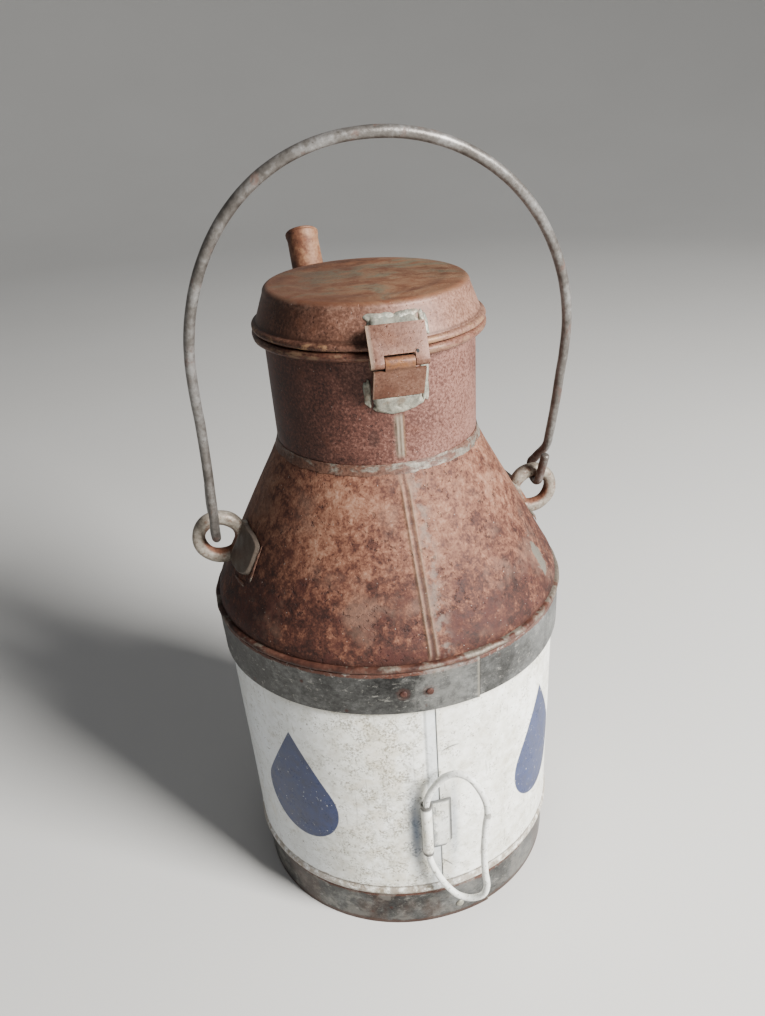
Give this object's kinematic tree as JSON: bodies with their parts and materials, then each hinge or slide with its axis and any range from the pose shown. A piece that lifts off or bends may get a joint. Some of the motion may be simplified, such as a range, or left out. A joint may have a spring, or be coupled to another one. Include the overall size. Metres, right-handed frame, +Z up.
{
  "type": "motor oil can",
  "caption": "Round sheet-metal oil can with conical shoulder, wide neck with hinged lid, slanted filler spout, swinging wire bail and side tilt handle.",
  "frame": {"origin": "on the floor under the can's axis; the bottom plate's middle is just above it", "axes": "+Z up along the can's axis, -Y to the front where the lid's hinge and the tilt handle are, +X to the right-hand lug, +Y towards the spout"},
  "size_m": [0.244, 0.3547, 0.5008],
  "materials": {
    "body_paint": "matt, chalked and speckled",
    "zinc_sheet": "dull weathered zinc with rust at its edges",
    "rivet_steel": "dull, lightly rusted",
    "cone_rust": "rough mottled rust",
    "neck_rust": "fine even rust",
    "lid_rust": "fine rust over dull tin",
    "hinge_rust": "worn brown with ochre rust",
    "lug_zinc": "dull grey with rust inside the eyes",
    "bail_wire": "dull grey wire with rust patches",
    "spout_rust": "tan rust",
    "solder": "dull uneven solder",
    "loop_wire": "chalked paint worn on the bends"
  },
  "bodies": {
    "can": {"body_wall": "body_paint", "base_band": "zinc_sheet", "base_band_rivet": "rivet_steel", "bottom_plate": "zinc_sheet", "top_band": "zinc_sheet", "top_band_rivet_left": "rivet_steel", "top_band_rivet_right": "rivet_steel", "shoulder_seam": "cone_rust", "shoulder_cone": "cone_rust", "neck_tube": "neck_rust", "neck_solder": "solder", "mouth_ring": "neck_rust", "neck_hinge_leaf": "hinge_rust", "hinge_pin": "rivet_steel", "neck_hinge_solder": "solder", "right_lug": "lug_zinc", "left_lug": "lug_zinc", "spout_tube": "spout_rust", "spout_solder": "solder", "tilt_handle_bracket": "body_paint"},
    "lid": {"lid_shell": "lid_rust", "lid_hinge_leaf": "hinge_rust", "lid_hinge_solder": "solder"},
    "bail": {"bail_handle": "bail_wire"},
    "tilt_handle": {"tilt_handle_loop": "loop_wire"}
  },
  "joints": [
    {"name": "lid_hinge", "type": "hinge", "parent": "can", "child": "lid", "pos_m": [0, -0.0726, 0.3965], "axis": [1, 0, 0], "range_deg": [0, 56]},
    {"name": "bail_swing", "type": "hinge", "parent": "can", "child": "bail", "pos_m": [0, 0, 0.291], "axis": [1, 0, 0], "range_deg": [-70, 115]},
    {"name": "tilt_handle_swing", "type": "hinge", "parent": "can", "child": "tilt_handle", "pos_m": [-0.00948, -0.11661, 0.102], "axis": [0, 0, -1], "range_deg": [-34, 163]}
  ]
}
